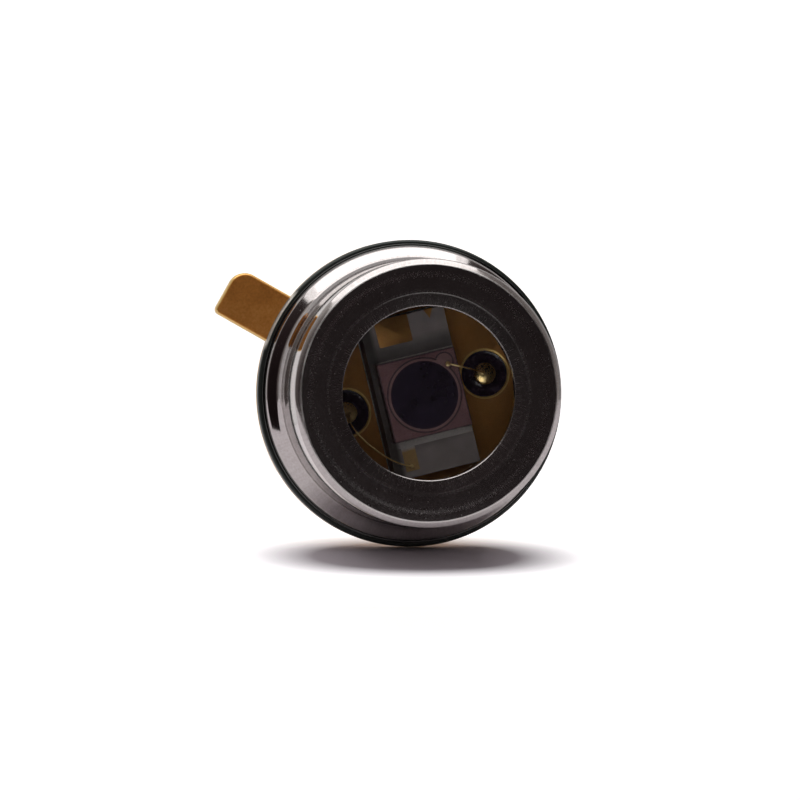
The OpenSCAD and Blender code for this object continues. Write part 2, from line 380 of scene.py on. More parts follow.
def makeCamera(setup):
    right = imageRight * cos(setup["yaw"]) + canAxis * sin(setup["yaw"])
    back = canAxis * cos(setup["yaw"]) - imageRight * sin(setup["yaw"])
    half = setup["imageSide"] / 2
    aside = (setup["flangeAt"][0] - half) / setup["pixelsPerMm"]
    above = (half - setup["flangeAt"][1]) / setup["pixelsPerMm"]
    spot = canAxis * setup["flangeHeight"] + back * setup["away"] - right * aside - imageUp * above
    deselectAll()
    bpy.ops.object.camera_add(location=spot * mm)
    camera = bpy.context.object
    camera.rotation_euler = Matrix((right, imageUp, back)).transposed().to_euler()
    camera.data.sensor_width = setup["sensor"]
    camera.data.lens = setup["sensor"] * setup["pixelsPerMm"] * setup["away"] / setup["imageSide"]
    camera.data.clip_start, camera.data.clip_end = (clip * mm for clip in setup["clip"])
    bpy.context.scene.camera = camera


makeCamera(cameraSetup)
print("camera set")


# Floor under the leads, and the table that the can lies against in the photograph

stageSetup = {
    "floorWide": 160,
    "tableWide": 90,
    "tableNear": 5.5,  # reach of the table towards the camera
    "shadowNear": 1,  # middle of the can's shadow on it
}

# glow near the can and away from it, half sizes of the stretch between, where the change starts and
# ends, the share that metal and glass mirror, and the glow that the camera sees at least
floorPaint = {
    "color": (0.88, 0.87, 0.88), "glow": (0.42, 0.2), "oval": (8, 8, 8), "edge": (0.7, 2.2),
    "mirrored": 1, "seen": 0.85,
}
tablePaint = {
    "color": (0.58, 0.53, 0.57), "glow": (0.0, 1.0), "oval": (2.95, 3.5, 2.1), "edge": (0.6, 1.1),
    "mirrored": 0.45, "seen": 0,
}


def paleMaterial(name, look, centre):
    material = bpy.data.materials.new(name)
    material.use_nodes = True
    tree = material.node_tree
    tree.nodes.clear()
    path = addNode(tree, "LightPath").outputs
    mirrored = most(tree, path["Is Glossy Ray"], path["Is Transmission Ray"])
    seen = most(tree, path["Is Camera Ray"], part(tree, mirrored, look["mirrored"]))
    here = addNode(tree, "NewGeometry").outputs
    sockets = {"Vector": here["Position"], "Location": centre * mm, "Scale": Vector(look["oval"]) * mm}
    oval = addNode(tree, "Mapping", sockets, vector_type="TEXTURE").outputs["Vector"]
    level = spread(tree, vectors(tree, "LENGTH", oval), *look["glow"], *look["edge"])
    plain = part(tree, path["Is Camera Ray"], look["seen"])
    glow = most(tree, part(tree, seen, level), plain)
    matte = addNode(tree, "BsdfDiffuse", {"Color": (*look["color"], 1)})
    light = addNode(tree, "Emission", {"Strength": glow})
    both = addNode(tree, "AddShader", {0: matte.outputs["BSDF"], 1: light.outputs["Emission"]})
    # seen from below, the surface is clear
    clear = addNode(tree, "BsdfTransparent")
    sockets = {0: here["Backfacing"], 1: both.outputs["Shader"], 2: clear.outputs["BSDF"]}
    oneSided = addNode(tree, "MixShader", sockets)
    output = addNode(tree, "OutputMaterial")
    tree.links.new(oneSided.outputs["Shader"], output.inputs["Surface"])
    return material


def makeStage(setup):
    leadTips = boxMm("lead_anode")[0].z
    under = canAxis * leadTips
    deselectAll()
    bpy.ops.mesh.primitive_plane_add(size=setup["floorWide"] * mm, location=under * mm)
    floor = bpy.context.object
    floor.name = "floor"
    floor.visible_shadow = False
    floor.data.materials.append(paleMaterial("floorPaint", floorPaint, under))
    # the table touches the flange and the tip of the case lead, so it falls away towards the camera
    touch = -boxMm("header")[0].x
    leadDown = -middle("lead_case").dot(imageUp) + boxMm("lead_case")[1].x
    tilt = atan((touch - leadDown) / -leadTips)
    along = canAxis * cos(tilt) - imageUp * sin(tilt)
    normal = imageRight.cross(along) * -1
    centre = imageUp * -touch + along * (setup["tableNear"] + leadTips) / 2
    deselectAll()
    bpy.ops.mesh.primitive_plane_add(size=1, location=centre * mm)
    table = bpy.context.object
    table.name = "table"
    table.rotation_euler = Matrix((imageRight, normal.cross(imageRight), normal)).transposed().to_euler()
    table.scale = (setup["tableWide"] * mm, (setup["tableNear"] - leadTips) * mm, 1)
    # partly painted shadow: the table's glow is left out in an oval round the middle of the can's shadow, so
    # the oval stays darker than the white round it, besides the shadow that the lamps cast
    shaded = imageUp * -touch + along * setup["shadowNear"]
    table.data.materials.append(paleMaterial("tablePaint", tablePaint, shaded))


makeStage(stageSetup)
print("stage set")


# Soft studio light: an overhead softbox, a strip and a low card that only metal mirrors, a lamp for the
# bright points behind the glass, a front fill that only lights matte surfaces, and the room

lampSetup = {
    # from: image right, image up, towards the camera
    "keySoftbox": {"from": (-0.1, 1.0, 0.15), "away": 70, "wide": 100, "deep": 80, "level": 0.9,
                   "unseenBy": ()},
    "mirroredStrip": {"from": (-0.06, 0.83, 0.52), "away": 70, "wide": 80, "deep": 44, "level": 0.22,
                      "unseenBy": ("diffuse", "transmission")},
    "lowCard": {"from": (-0.1, -0.56, 1.0), "away": 90, "wide": 80, "deep": 30, "level": 0.045,
                "unseenBy": ("diffuse", "transmission")},
    "insideGlint": {"from": (-0.22, -0.66, 1.0), "away": 90, "wide": 52, "deep": 42, "level": 0.22,
                    "unseenBy": ("diffuse", "glossy")},
    "frontFill": {"from": (-0.25, 0.35, 1.0), "away": 90, "wide": 60, "deep": 60, "level": 0.15,
                  "unseenBy": ("glossy", "transmission")},
}


def addLamp(name, setup):
    aside, above, near = setup["from"]
    towards = (imageRight * aside + imageUp * above + canAxis * near).normalized()
    away = setup["away"] * mm
    deselectAll()
    bpy.ops.object.light_add(type="AREA", location=towards * away)
    lamp = bpy.context.object
    lamp.name = name
    lamp.rotation_euler = towards.to_track_quat("Z", "Y").to_euler()
    lamp.data.shape = "RECTANGLE"
    lamp.data.size = setup["wide"] * mm
    lamp.data.size_y = setup["deep"] * mm
    # a white matte surface that faces the lamp comes out at the given level
    lamp.data.energy = setup["level"] * (pi * away) ** 2
    lamp.visible_camera = False
    for ray in setup["unseenBy"]:
        setattr(lamp, "visible_" + ray, False)


roomSetup = {
    # level of the room from behind the can (0) to in front of it (1)
    "frontStops": ((0.0, 0.95), (0.45, 0.8), (0.54, 0.6), (0.62, 0.16), (0.7, 0.05), (0.8, 0.036),
                   (1.0, 0.032)),
    # level round the can, by image angle from -180 to 180 degrees
    "roundStops": ((-180, 0.3), (-165, 0.25), (-150, 0.28), (-125, 0.35), (-100, 0.12), (-70, 0.12),
                   (-50, 0.4), (-10, 0.6), (15, 0.35), (50, 0.3), (75, 0.9), (135, 0.95), (152, 0.6),
                   (168, 0.35), (180, 0.3)),
    "plainBehind": (-0.75, -0.35),  # the level is the same all round behind the can
    # colour of the room by its level
    "roomTones": ((0.0, (0.0, 0.0, 0.0)), (0.03, (0.03, 0.02, 0.021)), (0.3, (0.3, 0.275, 0.265)),
                  (1.0, (1.0, 0.98, 0.96))),
}


def makeRoom(setup):
    world = bpy.data.worlds.new("room")
    bpy.context.scene.world = world
    world.use_nodes = True
    tree = world.node_tree
    tree.nodes.clear()
    heading = addNode(tree, "TexCoord").outputs["Generated"]
    outward = partOf(tree, heading, "Z")
    across = vectors(tree, "DOT_PRODUCT", heading, imageRight)
    above = vectors(tree, "DOT_PRODUCT", heading, imageUp)
    angle = spread(tree, sums(tree, "ARCTAN2", above, across), 0, 1, -pi, pi)
    frontStops = [(place, (level,) * 3) for place, level in setup["frontStops"]]
    front = ramp(tree, spread(tree, outward, 0, 1, -1, 1), frontStops)
    roundStops = [(degrees / 360 + 0.5, (level,) * 3) for degrees, level in setup["roundStops"]]
    plain = spread(tree, outward, 1, 0, *setup["plainBehind"])
    side = most(tree, ramp(tree, angle, roundStops), plain)
    tone = ramp(tree, part(tree, front, side), setup["roomTones"])
    seen = addNode(tree, "LightPath").outputs["Is Camera Ray"]
    color = tint(tree, seen, tone, (1, 1, 1))
    background = addNode(tree, "Background", {"Color": color, "Strength": 1})
    output = addNode(tree, "OutputWorld")
    tree.links.new(background.outputs["Background"], output.inputs["Surface"])


for lampName, lampValues in lampSetup.items():
    addLamp(lampName, lampValues)
makeRoom(roomSetup)
bpy.context.scene.view_settings.view_transform = "Standard"
print("lights set")


# Cap: one drawn sheet with weld brim, barrel and coined aperture

capDrawn = {
    "sides": 288, "wall": 0.2, "weldWide": 0.045, "weldThick": 0.1, "weldSoft": 0.015,
    "brimThick": 0.17, "brimEdge": 0.045, "slopeWide": 0.185, "slopeRise": 0.12, "root": 0.12,
    "bend": 0.12, "frontThick": 0.2, "frontEdge": 0.1, "frontSoft": 0.02,
    # the face stands a little above its border, and the coined ring falls from it to the lip
    "borderWide": 0.135, "borderDrop": 0.008, "borderSlope": 0.07, "borderSoft": 0.015,
    "aperture": 1.5, "coinWide": 0.22, "coinDrop": 0.005, "coinStep": 0.02, "coinSoft": 0.004,
    "lipDrop": 0.0145, "lipSoft": 0.025, "innerSoft": 0.014,
}

capLook = {
    "dark": (0.38, 0.35, 0.34), "light": (0.52, 0.49, 0.48), "speck": (0.62, 0.60, 0.58),
    "darkRing": (0.035, 0.038, 0.035), "darkRingShare": 0.93, "darkRingFade": 0.01,
    # painted highlight on the face's outer edge
    "faceEdgeHighlight": (0.8, 0.78, 0.75), "faceEdgeHighlightWide": 0.016,
    "scuffRing": 2.055, "scuffWide": 0.08, "coinLine": 0.04, "coinLineWide": 0.03,
    "nicksFrom": 0.14, "nicksTo": 0.08,  # inside and outside the coined ring's edge
    "faceFrom": 0.07, "faceTo": 0.02,  # below the front
    "rough": (0.05, 0.1), "relief": 0.001, "wallRelief": 0.15,
}


def capSteel(look, coin, face, weld, front):
    material, tree, shader, place = startMaterial("capSteel", {"Metallic": 1})
    streakPlace, radius = aroundAxis(tree, place, 55, 1.6, 0.9)
    streaks = noise(tree, streakPlace, 1, 6, 0.6)
    grain = noise(tree, place, 26, 5, 0.6)
    cloud = noise(tree, place, 2.2, 3)
    scored = most(tree, scratches(tree, place, 0.5, 40, 0.5, 0.72, 0.8),
                  scratches(tree, place, -0.9, 34, 0.4, 0.73, 0.82))
    specks = spread(tree, cells(tree, place, 9), 1, 0, 0.05, 0.11)
    mottled = blend(tree, streaks, grain, 0.45)
    body = tint(tree, part(tree, specks, 0.5), tones(tree, mottled, look), look["speck"])
    # the squeezed ring at the weld is coloured dark
    darkRing = spread(tree, radius, 0, look["darkRingShare"], weld - look["darkRingFade"], weld + look["darkRingFade"])
    body = tint(tree, darkRing, body, look["darkRing"])
    # short radial nicks round the coined aperture, a line at its edge and a scuffed ring
    nearLip = spread(tree, radius, 0.6, 0, coin - look["nicksFrom"], coin + look["nicksTo"])
    nicks = noise(tree, aroundAxis(tree, place, 120, 5, 0.9)[0], 1, 4, 0.6)
    marks = part(tree, spread(tree, nicks, 0, 1, 0.52, 0.78), nearLip)
    dust = spread(tree, noise(tree, place, 60, 3), 0, 0.6, 0.56, 0.7)
    scuffs = part(tree, thinLine(tree, radius, look["scuffRing"], look["scuffWide"]), dust)
    edge = part(tree, thinLine(tree, radius, coin + look["coinLine"], look["coinLineWide"]), 0.2)
    worn = most(tree, marks, scuffs, edge, specks)
    # painted highlight: the face's outer edge is painted pale and rougher here and there
    faceEdgeHighlight = part(tree, thinLine(tree, radius, face, look["faceEdgeHighlightWide"]), spread(tree, cloud, 0.2, 0.8))
    body = tint(tree, faceEdgeHighlight, body, look["faceEdgeHighlight"])
    height = partOf(tree, place, "Z")
    onFace = spread(tree, height, 0, 1, front - look["faceFrom"], front - look["faceTo"])
    rougher = ((onFace, 0.17), (worn, 0.14), (darkRing, 0.12), (faceEdgeHighlight, 0.35), (scored, 0.06))
    relief = sums(tree, "SUBTRACT", blend(tree, streaks, grain), part(tree, scored, 0.25))
    relief = sums(tree, "MULTIPLY_ADD", worn, 0.4, relief)
    # the drawn wall is smoother than the face
    relief = part(tree, relief, spread(tree, onFace, look["wallRelief"], 1, 0, 1))
    dressShader(tree, shader, look, body, blend(tree, cloud, mottled), relief, rougher)
    return material


def makeCap(size):
    low, high = boxMm("cap")
    brim = high.x
    barrel = mountOf("cap_barrel")["dims"]["r_mm"]
    inside = barrel - size["wall"]
    weldTop = low.z + size["weldThick"]
    weldIn = brim - size["weldWide"]
    brimTop = low.z + size["brimThick"]
    # the brim rises to the barrel, and the slope runs on to the barrel's wall
    rootTop = brimTop + size["slopeRise"] * (weldIn - barrel) / size["slopeWide"]
    shoulder = high.z - size["frontEdge"]
    face = barrel - size["frontEdge"]
    border = face - size["borderWide"]
    borderTop = high.z - size["borderDrop"]
    raised = border - size["borderSlope"]
    aperture = size["aperture"]
    coin = aperture + size["coinWide"]
    coinFoot = coin + size["coinStep"]
    coinTop = high.z - size["coinDrop"]
    lip = high.z - size["lipDrop"]
    under = high.z - size["frontThick"]
    rings = ((brim, low.z), (brim, weldTop), (weldIn, weldTop), (weldIn, brimTop), (barrel, rootTop),
             (barrel, shoulder), (face, borderTop), (border, borderTop), (raised, high.z),
             (coinFoot, high.z), (coin, coinTop), (aperture, lip), (aperture, under), (inside, under),
             (inside, low.z))
    piece = turnRings("cap_drawn", rings, size["sides"], hollow=True)
    # radius, height, rounding and its segments
    roundRings(piece, (
        (brim, weldTop, size["weldSoft"], 3),
        (weldIn, weldTop, size["weldSoft"], 3),
        (weldIn, brimTop, size["brimEdge"], 6),
        (barrel, rootTop, size["root"], 12),
        (barrel, shoulder, size["frontSoft"], 4),
        (face, borderTop, size["frontSoft"], 4),
        (border, borderTop, size["borderSoft"], 2),
        (raised, high.z, size["borderSoft"], 2),
        (coinFoot, high.z, size["coinSoft"], 2),
        (coin, coinTop, size["coinSoft"], 2),
        (aperture, lip, size["lipSoft"], 5),
        (aperture, under, size["innerSoft"], 3),
        (inside, low.z, size["bend"], 8),
    ))
    finishPiece(piece, "cap", capSteel(capLook, coin, face, weldIn, high.z))


makeCap(capDrawn)
print("cap made")


# Header: flange, platform and index tab, with the holes for the beads and the braze

headerForged = {
    "sides": 256, "flangeEdge": 0.05, "platformGap": 0.08, "platformEdge": 0.08, "holeEdge": 0.03,
    "tabLong": 1.029, "tabWide": 0.9, "tabLift": 0.03, "tabRoundA": 0.3, "tabRoundB": 0.1, "tabEdge": 0.05,
    "tabRoot": 1.9,  # where the tab starts, well inside the flange
}

headerLook = {
    # brown is the shaded copy of the gold on the top faces, bright the lit copy, as painted highlights
    "brown": ((0.32, (0.58, 0.21, 0.04)), (0.5, (0.74, 0.285, 0.058)), (0.7, (0.88, 0.40, 0.112))),
    "bright": ((0.32, (0.80, 0.52, 0.16)), (0.7, (0.96, 0.70, 0.28))),
    # painted shade inside the can
    "inside": (0.36, 0.17, 0.045), "insideShadeShare": 0.75,
    # painted highlight round each hole
    "holeRimHighlight": (0.92, 0.64, 0.24), "holeRimHighlightOut": 0.015, "holeRimHighlightWide": 0.035,
    # painted shade on the flange's rim beside the weld
    "rimShade": (0.04, 0.045, 0.041), "weldWide": 0.1, "rimShadeFrom": (0.1, 0.16),  # heights on the rim
    "worn": (0.86, 0.82, 0.74), "wornShare": 0.9, "wornBeside": (radians(13), radians(9)),
    "rolled": 0.785,  # heading of the rolling marks
    "rough": (0.3, 0.46), "relief": 0.0022,
}


def headerGold(look, weldTo, rim, tabHeading, tabTop, platformTop, holes, holeWide):
    material, tree, shader, place = startMaterial("headerGold", {"Metallic": 0.65})
    grain = noise(tree, place, 22, 5, 0.6)
    cloud = noise(tree, place, 1.6, 3)
    rolled = noise(tree, stretched(tree, place, (2, 30, 2), look["rolled"]), 1, 4)
    mixed = blend(tree, cloud, grain)
    flat, radius = fromAxis(tree, place)
    height = partOf(tree, place, "Z")
    # painted light: a lit copy of the gold, as painted highlights on the rounded edges, sides and underside,
    # and a browner shaded copy on the top faces
    shadedTop = spread(tree, height, 0, 1, tabTop - 0.012, tabTop - 0.004)
    body = tint(tree, shadedTop, ramp(tree, mixed, look["bright"]), ramp(tree, mixed, look["brown"]))
    # painted shade: darker still on the platform, inside the can
    inside = spread(tree, height, 0, look["insideShadeShare"], platformTop - 0.15, platformTop - 0.1)
    body = tint(tree, inside, body, look["inside"])
    # painted highlight: a light ring round the top of each hole, inside the can
    for hole in holes:
        away = vectors(tree, "DISTANCE", flat, hole)
        ring = thinLine(tree, away, holeWide + look["holeRimHighlightOut"], look["holeRimHighlightWide"])
        body = tint(tree, part(tree, ring, inside), body, look["holeRimHighlight"])
    # painted shade darkens the flange's rim beside the weld, and the rim is worn pale where the tab leaves
    # it
    onFlange = spread(tree, radius, 1, 0, rim + 0.004, rim + 0.02)
    rimShade = part(tree, spread(tree, radius, 0, 1, weldTo - look["weldWide"], weldTo), onFlange)
    upper = spread(tree, height, 0, 1, *look["rimShadeFrom"])
    body = tint(tree, part(tree, rimShade, upper), body, look["rimShade"])
    facing = vectors(tree, "DOT_PRODUCT", vectors(tree, "NORMALIZE", flat), tabHeading)
    besideTab = spread(tree, facing, 0, look["wornShare"], *(cos(angle) for angle in look["wornBeside"]))
    worn = part(tree, spread(tree, radius, 0, 1, rim - 0.04, rim - 0.025), onFlange)
    body = tint(tree, part(tree, worn, besideTab), body, look["worn"])
    dressShader(tree, shader, look, body, mixed, blend(tree, rolled, grain, 0.4))
    return material


def makeTab(size, flange, flangeTop):
    root = size["tabRoot"]
    tip = flange + size["tabLong"]
    half = size["tabWide"] / 2
    low, high = size["tabLift"], flangeTop - size["tabLift"]
    deselectAll()
    bpy.ops.mesh.primitive_cube_add(size=1, location=((root + tip) / 2, 0, (low + high) / 2))
    bpy.context.object.scale = (tip - root, size["tabWide"], high - low)
    tab = startPiece("tab")
    pickEdges(tab, cornerAt(tip, -half))
    bevelPicked(size["tabRoundA"], 10)
    pickEdges(tab, cornerAt(tip, half))
    bevelPicked(size["tabRoundB"], 6)
    # stamped edges all along the outline, above and below
    pickEdges(tab, lambda e: max(v.co.x for v in e.verts) > root + closeBy and atHeight(e, low, high))
    bevelPicked(size["tabEdge"], 4)
    heading = mountOf("index_tab")["axis"]
    settlePiece(tab, atan2(heading[1], heading[0]))
    return tab


def makeHeader(size):
    low, high = boxMm("header")
    flange = -low.x
    flangeTop = boxMm("cap")[0].z
    platform = boxMm("window_frit")[1].x - size["platformGap"]
    rings = ((flange, 0), (flange, flangeTop), (platform, flangeTop), (platform, high.z))
    piece = turnRings("header_forged", rings, size["sides"])
    roundRings(piece, (
        (flange, 0, size["flangeEdge"], 5),
        (flange, flangeTop, size["flangeEdge"], 6),
        (platform, high.z, size["platformEdge"], 6),
    ))
    combine(piece, makeTab(size, flange, flangeTop), "UNION")
    seals = ("seal_anode", "seal_cathode")
    for node in seals:
        drill(piece, middle(node), roundOf(node), -drillPast, high.z + drillPast, sealSides)
    recess = boxMm("case_braze")[1].z
    drill(piece, middle("case_braze"), roundOf("case_braze"), -drillPast, recess, sealSides)
    makeActive(piece)
    bpy.ops.object.mode_set(mode="EDIT")
    for node in seals:
        pickEdges(piece, onRing(roundOf(node), high.z, middle(node).xy))
        bevelPicked(size["holeEdge"], 3)
    holes = [(*middle(node).xy, 0) for node in seals]
    finish = headerGold(headerLook, boxMm("cap")[1].x, flange, mountOf("index_tab")["axis"],
                        flangeTop - size["tabLift"], high.z, holes, roundOf(seals[-1]))
    finishPiece(piece, "header", finish)


makeHeader(headerForged)
print("header made")


# Leads, their glass beads and the braze of the case lead

leadDrawn = {
    "sides": 48, "tipChamfer": 0.07, "tipSoft": 0.02, "topWide": 0.19, "dome": 0.045, "domeEdge": 0.02,
    "domeShares": (1, 0.86, 0.72, 0.58, 0.44, 0.3, 0.16, 0.05),  # of the top's radius
}

leadLook = {"dark": (0.62, 0.42, 0.16), "light": (0.88, 0.66, 0.32), "rough": (0.2, 0.36), "relief": 0.0007}


def leadGold(look):
    material, tree, shader, place = startMaterial("leadGold", {"Metallic": 1})
    drawn = noise(tree, stretched(tree, place, (34, 34, 0.9)), 1, 5, 0.6)
    grain = noise(tree, place, 30, 4)
    cloud = noise(tree, stretched(tree, place, (1, 1, 0.4)), 1.5, 3)
    mixed = blend(tree, drawn, cloud)
    dressShader(tree, shader, look, tones(tree, mixed, look), mixed, blend(tree, grain, drawn, 0.4))
    return material


def makeLead(node, size, material):
    low, high = boxMm(node)
    spot = middle(node)
    thick = roundOf(node)
    tip = (thick - size["tipChamfer"], low.z)
    shoulder = (thick, low.z + size["tipChamfer"])
    rounds = [(*tip, size["tipSoft"], 3), (*shoulder, size["tipSoft"], 3)]
    if node == "lead_case":
        rings = (tip, shoulder, (thick, high.z))
    else:
        # an insulated lead tapers through its bead and ends in a shallow dome
        glassLow = boxMm(node.replace("lead", "seal"))[0].z
        shares = size["domeShares"]
        dome = [(size["topWide"] * share, high.z - size["dome"] * share ** 2) for share in shares]
        rings = (tip, shoulder, (thick, glassLow), *dome)
        rounds.append((*dome[0], size["domeEdge"], 4))
    piece = turnRings(node + "_drawn", rings, size["sides"])
    roundRings(piece, rounds)
    shiftAll((spot.x, spot.y, 0))
    finishPiece(piece, node, material)


beadMelted = {
    "dip": 0.016,
    "dipShape": ((0.12, 0.6), (0.35, 1.0), (0.65, 1.0), (0.88, 0.6)),  # shares of the gap and of the dip
}

sealLook = {
    "dark": (0.010, 0.006, 0.012), "light": (0.026, 0.015, 0.030), "bubble": (0.08, 0.06, 0.085),
    "rough": (0.18, 0.32), "relief": 0.002,
}


def sealGlass(look):
    material, tree, shader, place = startMaterial("sealGlass", {"IOR": 1.5, "Specular IOR Level": 0.3})
    cloud = noise(tree, place, 5, 4)
    bubbles = spread(tree, cells(tree, place, 16), 1, 0, 0.08, 0.2)
    body = tint(tree, part(tree, bubbles, 0.3), tones(tree, cloud, look, 0.35, 0.65), look["bubble"])
    dressShader(tree, shader, look, body, cloud, blend(tree, cloud, bubbles, 0.6))
    return material


def makeBead(node, size, leadTop, material):
    low, high = boxMm(node)
    spot = middle(node)
    outer = roundOf(node)
    leadNode = node.replace("seal", "lead")
    lead = roundOf(leadNode)
    top = lead - (lead - leadTop) * (high.z - low.z) / (boxMm(leadNode)[1].z - low.z)
    # the glass sinks between the hole and the lead, above and below
    upper = [(outer + (top - outer) * t, high.z - size["dip"] * d) for t, d in size["dipShape"]]
    lower = [(lead + (outer - lead) * t, low.z + size["dip"] * d) for t, d in size["dipShape"]]
    rings = [(outer, low.z), (outer, high.z), *upper, (top, high.z), (lead, low.z), *lower]
    piece = turnRings(node + "_melted", rings, sealSides, hollow=True)
    shiftAll((spot.x, spot.y, 0))
    finishPiece(piece, node, material)


# share of the gap from the hole to the lead, and how far the braze has drawn up there
brazeRun = {"sag": ((0, 0.01), (0.3, 0.02), (0.7, 0.014), (1, 0))}

solderLook = {"dark": (0.33, 0.32, 0.31), "light": (0.56, 0.55, 0.54), "rough": (0.3, 0.5), "relief": 0.004}


def solderGrey(look):
    material, tree, shader, place = startMaterial("solderGrey", {"Metallic": 0.9})
    crystals = cells(tree, place, 20)
    grain = noise(tree, place, 30, 5)
    body = tones(tree, blend(tree, crystals, grain), look, 0.25)
    dressShader(tree, shader, look, body, grain, blend(tree, crystals, grain, 0.6))
    return material


def makeBraze(size, material):
    low, high = boxMm("case_braze")
    spot = middle("case_braze")
    outer = roundOf("case_braze")
    lead = roundOf("lead_case")
    sag = [(outer - (outer - lead) * share, low.z + lift) for share, lift in size["sag"]]
    rings = ((outer, high.z), *sag, (lead, high.z))
    piece = turnRings("case_braze_run", rings, sealSides, hollow=True)
    shiftAll((spot.x, spot.y, 0))
    finishPiece(piece, "case_braze", material)


leadFinish = leadGold(leadLook)
beadFinish = sealGlass(sealLook)
solderFinish = solderGrey(solderLook)
for leadName in ("lead_anode", "lead_cathode", "lead_case"):
    makeLead(leadName, leadDrawn, leadFinish)
for beadName in ("seal_anode", "seal_cathode"):
    makeBead(beadName, beadMelted, leadDrawn["topWide"], beadFinish)
makeBraze(brazeRun, solderFinish)
print("leads, beads and braze made")


# Window and the solder glass that holds it

windowCut = {"sides": 192, "bevel": 0.03, "fritDrop": 0.1, "fritSag": 0.03, "fritSoft": 0.03}

windowLook = {"glass": (0.97, 0.985, 0.98), "shadow": (0.95, 0.97, 0.965), "rough": (0.0, 0.02)}

fritLook = {
    "dark": (0.035, 0.026, 0.020), "light": (0.085, 0.066, 0.052), "bubble": (0.14, 0.12, 0.10),
    "rough": (0.2, 0.4), "relief": 0.004,
}


def windowGlass(look):
    material, tree, shader, place = startMaterial("windowGlass", {
        "Base Color": (*look["glass"], 1), "Transmission Weight": 1, "IOR": 1.5})
    smears = noise(tree, stretched(tree, place, (1.2, 4, 1), 0.6), 1.5, 4)
    tree.links.new(spread(tree, smears, *look["rough"]), shader.inputs["Roughness"])
    # light passes straight through
    clear = addNode(tree, "BsdfTransparent", {"Color": (*look["shadow"], 1)})
    shadow = addNode(tree, "LightPath").outputs["Is Shadow Ray"]
    mix = addNode(tree, "MixShader", {0: shadow, 1: shader.outputs["BSDF"], 2: clear.outputs["BSDF"]})
    tree.links.new(mix.outputs["Shader"], tree.nodes["Material Output"].inputs["Surface"])
    return material


def fritGlass(look):
    material, tree, shader, place = startMaterial("fritGlass", {"IOR": 1.6, "Coat Weight": 0.2})
    grain = noise(tree, place, 14, 5)
    bubbles = spread(tree, cells(tree, place, 11), 1, 0, 0.06, 0.2)
    body = tint(tree, part(tree, bubbles, 0.5), tones(tree, grain, look), look["bubble"])
    dressShader(tree, shader, look, body, grain, blend(tree, bubbles, grain))
    return material


def makeWindow(size):
    low, high = boxMm("window")
    rim = high.x
    face = rim - size["bevel"]
    rings = ((face, low.z), (rim, low.z + size["bevel"]), (rim, high.z - size["bevel"]), (face, high.z))
    piece = turnRings("window_cut", rings, size["sides"])
    finishPiece(piece, "window", windowGlass(windowLook), sharpAngle=20)
    fritLow, fritHigh = boxMm("window_frit")
    wall = fritHigh.x
    bottom = fritLow.z + size["fritDrop"]
    hollow = ((rim + wall) / 2 + size["fritSag"], (bottom + fritLow.z) / 2 + size["fritSag"])
    rings = ((rim, bottom), hollow, (wall, fritLow.z), (wall, fritHigh.z), (rim, fritHigh.z))
    frit = turnRings("window_frit_fused", rings, size["sides"], hollow=True)
    roundRings(frit, ((*hollow, size["fritSoft"], 4),))
    finishPiece(frit, "window_frit", fritGlass(fritLook))


makeWindow(windowCut)
print("window made")


# Carrier, its films and solder

# rounding of the upright corners and of the upper edges
plateCut = {
    "carrier": {"corner": 0.03, "edge": 0.012},
    "carrier_solder": {"corner": 0.06, "edge": 0.008},
    "spare_pad": {"corner": 0.03, "edge": 0.003},
    "chip_solder": {"corner": 0.04, "edge": 0.006},
    "chip": {"corner": 0.012, "edge": 0.008},
}

# painted shade darkens the carrier's margin beside the chip: from and to where, off the carrier's middle
marginShadeLook = {"margin": (0.54, 0.63), "share": 0.9, "tone": (0.03, 0.022, 0.018)}

carrierLook = {
    "dark": (0.205, 0.165, 0.162), "light": (0.30, 0.25, 0.243), "pit": (0.10, 0.095, 0.095),
    # painted shade along one edge of the chip
    "chipEdgeShade": (0.05, 0.046, 0.045), "chipEdgeShadeWide": 0.36, "chipEdgeShadeShare": 0.6,
    "rough": (0.5, 0.7), "relief": 0.0025,
}

padLook = {
    "silver": {"dark": (0.42, 0.37, 0.36), "light": (0.60, 0.54, 0.52)},
    "gold": {"dark": (0.34, 0.20, 0.085), "light": (0.52, 0.33, 0.15)},
    "stripGap": 0.14,  # from the chip to the bonding strip
    "rough": (0.36, 0.55), "relief": 0.002,
}

goldLook = {
    "dark": (0.27, 0.12, 0.032), "light": (0.42, 0.21, 0.065), "metal": 0.8,
    "rough": (0.34, 0.52), "relief": 0.0018,
}


def shadeBesideChip(tree, body, onCarrier, look):
    # painted shade on the carrier's margin beside the chip
    marginShade = spread(tree, partOf(tree, onCarrier, "X"), 0, look["share"], *look["margin"])
    return tint(tree, marginShade, body, look["tone"])


def carrierCeramic(look, centre, chipEdge):
    shine = {"IOR": 1.6, "Specular IOR Level": 0.35}
    material, tree, shader, place = startMaterial("carrierCeramic", shine)
    onCarrier = placeInMm(tree, centre, carrierTurn)
    grain = noise(tree, place, 60, 5, 0.65)
    cloud = noise(tree, place, 3, 4)
    pits = spread(tree, cells(tree, place, 22), 1, 0, 0.05, 0.12)
    body = shadeBesideChip(tree, tones(tree, blend(tree, cloud, grain), look), onCarrier, marginShadeLook)
    # painted shade darkens the ceramic along one edge of the chip
    chipEdgeShade = thinLine(tree, partOf(tree, onCarrier, "Y"), chipEdge, look["chipEdgeShadeWide"])
    body = tint(tree, part(tree, chipEdgeShade, look["chipEdgeShadeShare"]), body, look["chipEdgeShade"])
    body = tint(tree, part(tree, pits, 0.4), body, look["pit"])
    dressShader(tree, shader, look, body, grain, sums(tree, "SUBTRACT", grain, part(tree, pits, 0.5)))
    return material


